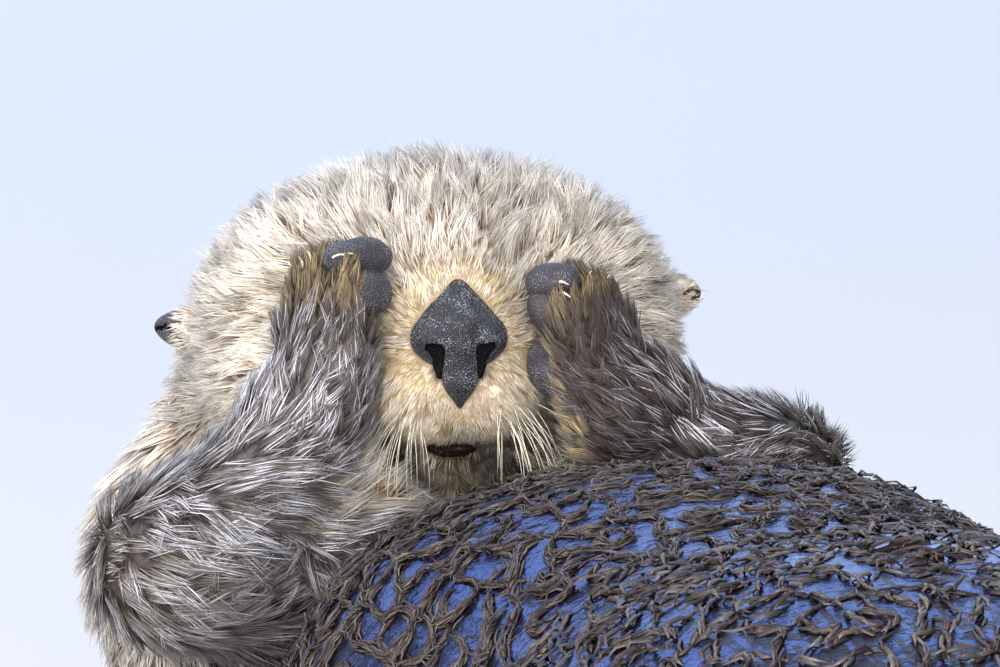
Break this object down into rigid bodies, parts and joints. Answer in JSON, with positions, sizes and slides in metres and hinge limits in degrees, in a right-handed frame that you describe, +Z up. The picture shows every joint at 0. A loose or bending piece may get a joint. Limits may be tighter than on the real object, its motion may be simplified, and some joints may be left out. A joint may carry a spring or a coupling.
{
  "type": "sea otter",
  "caption": "Life-size sea otter lying on its back, head raised, forepaws held over its eyes, hind flippers and tail laid out along the floor.",
  "frame": {"origin": "middle of the bounding box, at its base on the floor", "axes": "+Y from the tail to the back of the head, +Z up, +X to the otter's own left"},
  "size_m": [0.4758, 1.1796, 0.3138],
  "materials": {
    "pale_fur": "dry cream and tan fur of the head and neck",
    "grizzled_fur": "grey-brown fur of the forelimbs with silver guard hairs",
    "wet_fur": "wet dark brown fur in glossy locks",
    "nose_skin": "bare pebbled charcoal skin, slightly moist",
    "pad_skin": "bare granular charcoal skin of the paw pads",
    "horn": "smooth pale horn of the claws",
    "eye": "wet dark brown eye"
  },
  "bodies": {
    "root": {"head": "pale_fur", "lower_jaw": "pale_fur", "nose": "nose_skin", "neck": "pale_fur", "chest": "wet_fur", "belly": "wet_fur", "rump": "wet_fur", "tail_root": "wet_fur", "tail_tip": "wet_fur", "ear_left": "pale_fur", "eye_left": "eye", "upper_arm_left": "grizzled_fur", "forearm_left": "grizzled_fur", "forepaw_left": "grizzled_fur", "finger_pad_left": "pad_skin", "palm_pad_left": "pad_skin", "claw_1_left": "horn", "claw_2_left": "horn", "claw_3_left": "horn", "claw_4_left": "horn", "claw_5_left": "horn", "thigh_left": "wet_fur", "shin_left": "wet_fur", "flipper_left": "wet_fur", "toe_claw_1_left": "horn", "toe_claw_2_left": "horn", "toe_claw_3_left": "horn", "toe_claw_4_left": "horn", "toe_claw_5_left": "horn", "ear_right": "pale_fur", "eye_right": "eye", "upper_arm_right": "grizzled_fur", "forearm_right": "grizzled_fur", "forepaw_right": "grizzled_fur", "finger_pad_right": "pad_skin", "palm_pad_right": "pad_skin", "claw_1_right": "horn", "claw_2_right": "horn", "claw_3_right": "horn", "claw_4_right": "horn", "claw_5_right": "horn", "thigh_right": "wet_fur", "shin_right": "wet_fur", "flipper_right": "wet_fur", "toe_claw_1_right": "horn", "toe_claw_2_right": "horn", "toe_claw_3_right": "horn", "toe_claw_4_right": "horn", "toe_claw_5_right": "horn"}
  },
  "joints": []
}
